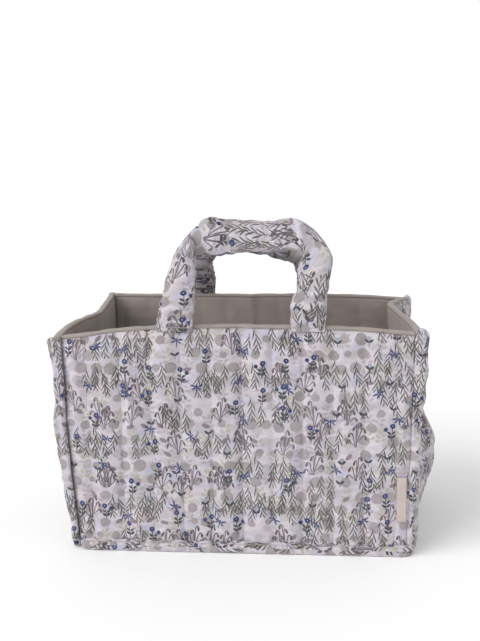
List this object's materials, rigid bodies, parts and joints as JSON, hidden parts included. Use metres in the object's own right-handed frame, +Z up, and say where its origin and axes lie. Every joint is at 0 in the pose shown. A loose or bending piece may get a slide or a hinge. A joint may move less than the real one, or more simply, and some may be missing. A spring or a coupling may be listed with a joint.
{
  "type": "garden tool bag",
  "caption": "Open-topped rectangular quilted fabric caddy with padded folding carry handles, bound corner seams and gathered end pockets.",
  "frame": {"origin": "middle of the bag's footprint, on the surface that it stands on", "axes": "+X to the right seen from the front, -Y out of the front wall, +Z up out of the open top"},
  "size_m": [0.412, 0.1964, 0.348],
  "materials": {
    "printed_cotton": "matte",
    "lining_cotton": "matte",
    "wadding": "matte",
    "base_board": "matte",
    "elastic": "matte",
    "label_ribbon": "matte"
  },
  "bodies": {
    "bag": {"back_handle_root_left": "printed_cotton", "back_handle_root_right": "printed_cotton", "back_lining": "lining_cotton", "back_shell": "printed_cotton", "back_wadding": "wadding", "base_binding": "printed_cotton", "base_board": "base_board", "base_lining": "lining_cotton", "base_shell": "printed_cotton", "base_wadding": "wadding", "corner_binding_back_left": "printed_cotton", "corner_binding_back_right": "printed_cotton", "corner_binding_front_left": "printed_cotton", "corner_binding_front_right": "printed_cotton", "front_handle_root_left": "printed_cotton", "front_handle_root_right": "printed_cotton", "front_lining": "lining_cotton", "front_shell": "printed_cotton", "front_wadding": "wadding", "left_lining": "lining_cotton", "left_pocket_elastic": "elastic", "left_pocket_hem": "printed_cotton", "left_pocket_panel": "printed_cotton", "left_shell": "printed_cotton", "left_wadding": "wadding", "right_lining": "lining_cotton", "right_pocket_elastic": "elastic", "right_pocket_hem": "printed_cotton", "right_pocket_panel": "printed_cotton", "right_shell": "printed_cotton", "right_wadding": "wadding", "rim_binding_back": "lining_cotton", "rim_binding_front": "lining_cotton", "rim_binding_left": "lining_cotton", "rim_binding_right": "lining_cotton"},
    "front_handle": {"front_handle_cover": "printed_cotton", "front_handle_core": "wadding"},
    "back_handle": {"back_handle_cover": "printed_cotton", "back_handle_core": "wadding"},
    "label": {"side_label": "label_ribbon"}
  },
  "joints": [
    {"name": "front_handle_fold", "type": "hinge", "parent": "bag", "child": "front_handle", "pos_m": [0.0025, -0.0953, 0.243], "axis": [1, 0, 0], "range_deg": [-50, 157]},
    {"name": "back_handle_fold", "type": "hinge", "parent": "bag", "child": "back_handle", "pos_m": [0.0025, 0.0953, 0.243], "axis": [-1, 0, 0], "range_deg": [-15, 192]},
    {"name": "label_flip", "type": "hinge", "parent": "bag", "child": "label", "pos_m": [0.1675, -0.096, 0.062], "axis": [0, 0, 1], "range_deg": [0, 150]}
  ]
}
